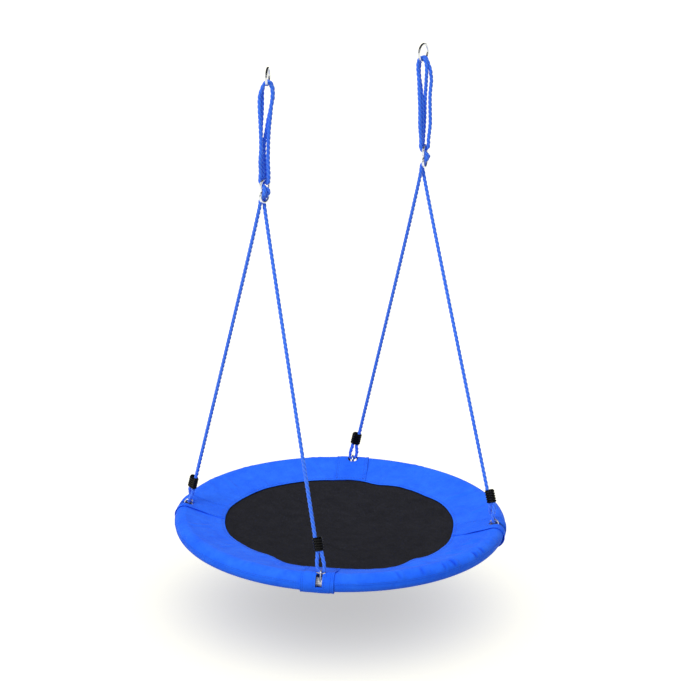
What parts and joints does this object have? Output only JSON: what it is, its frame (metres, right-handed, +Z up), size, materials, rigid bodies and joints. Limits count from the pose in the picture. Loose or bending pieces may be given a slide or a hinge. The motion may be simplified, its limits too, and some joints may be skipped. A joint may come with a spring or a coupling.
{
  "type": "saucer nest swing",
  "caption": "Round cloth saucer seat with a padded rim, hung by doubled ropes from a pair of steel rings through figure-eight adjusters.",
  "frame": {"origin": "midway between the two hooks, at the height where the hanging rings bear on them", "axes": "+Z up; +X from hanging ring A to hanging ring B, +Y to the swing's rear; the seat hangs level below, with its middle on the Z axis"},
  "size_m": [1, 0.9999, 1.4667],
  "materials": {
    "hanging_steel": "polished",
    "rope_blue": "laid three-strand rope",
    "link_steel": "bright plated",
    "clamp_black": "satin moulded",
    "eye_steel": "zinc plated",
    "tube_steel": "galvanised",
    "foam_grey": "closed-cell foam",
    "screw_steel": "zinc plated",
    "cover_blue": "coated woven polyester",
    "seat_blue": "coated woven polyester",
    "panel_black": "coarse black mesh weave",
    "flap_blue": "coated woven polyester, stitched",
    "hook_black": "hook tape",
    "loop_black": "loop tape"
  },
  "bodies": {
    "top_rings": {"hanging_ring_a": "hanging_steel", "hanging_ring_b": "hanging_steel"},
    "rope_crowns": {"rope_a_crown": "rope_blue", "rope_b_crown": "rope_blue"},
    "hanger_a": {"rope_a": "rope_blue", "adjuster_a": "link_steel", "rope_clamp_left": "clamp_black", "rope_clamp_front": "clamp_black"},
    "hanger_b": {"rope_b": "rope_blue", "adjuster_b": "link_steel", "rope_clamp_right": "clamp_black", "rope_clamp_back": "clamp_black"},
    "seat": {"anchor_eye_left": "eye_steel", "anchor_eye_front": "eye_steel", "anchor_eye_right": "eye_steel", "anchor_eye_back": "eye_steel", "frame_tube_left": "tube_steel", "frame_tube_front": "tube_steel", "frame_tube_right": "tube_steel", "frame_tube_back": "tube_steel", "foam_sleeve_left": "foam_grey", "foam_sleeve_front": "foam_grey", "foam_sleeve_right": "foam_grey", "foam_sleeve_back": "foam_grey", "frame_screws": "screw_steel", "rim_cover": "cover_blue", "seat_ring_cloth": "seat_blue", "centre_panel": "panel_black", "flap_left": "flap_blue", "flap_front": "flap_blue", "flap_right": "flap_blue", "flap_back": "flap_blue", "hook_strips": "hook_black", "loop_strips": "loop_black"}
  },
  "joints": [
    {"name": "swing", "type": "hinge", "parent": "top_rings", "child": "rope_crowns", "pos_m": [0, 0, -0.0455], "axis": [1, 0, 0], "range_deg": [-45, 45], "deforming": ["rope_a_crown", "rope_b_crown"]},
    {"name": "sway", "type": "hinge", "parent": "rope_crowns", "child": "hanger_a", "pos_m": [-0.288, 0, -0.0455], "axis": [0, 1, 0], "range_deg": [-12, 12], "deforming": ["rope_a", "rope_a_crown"]},
    {"name": "far_sway", "type": "hinge", "parent": "rope_crowns", "child": "hanger_b", "pos_m": [0.288, 0, -0.0455], "axis": [0, 1, 0], "range_deg": [-12.5, 12.5], "deforming": ["rope_b", "rope_b_crown"]},
    {"name": "seat_level", "type": "hinge", "parent": "hanger_a", "child": "seat", "pos_m": [-0.32304, 0, -1.3993], "axis": [0, 1, 0], "range_deg": [-11, 11], "deforming": ["rope_a"]}
  ],
  "couplings": [
    {"joint": "far_sway", "follows": "sway", "ratio": 1},
    {"joint": "seat_level", "follows": "sway", "ratio": -0.8975}
  ]
}
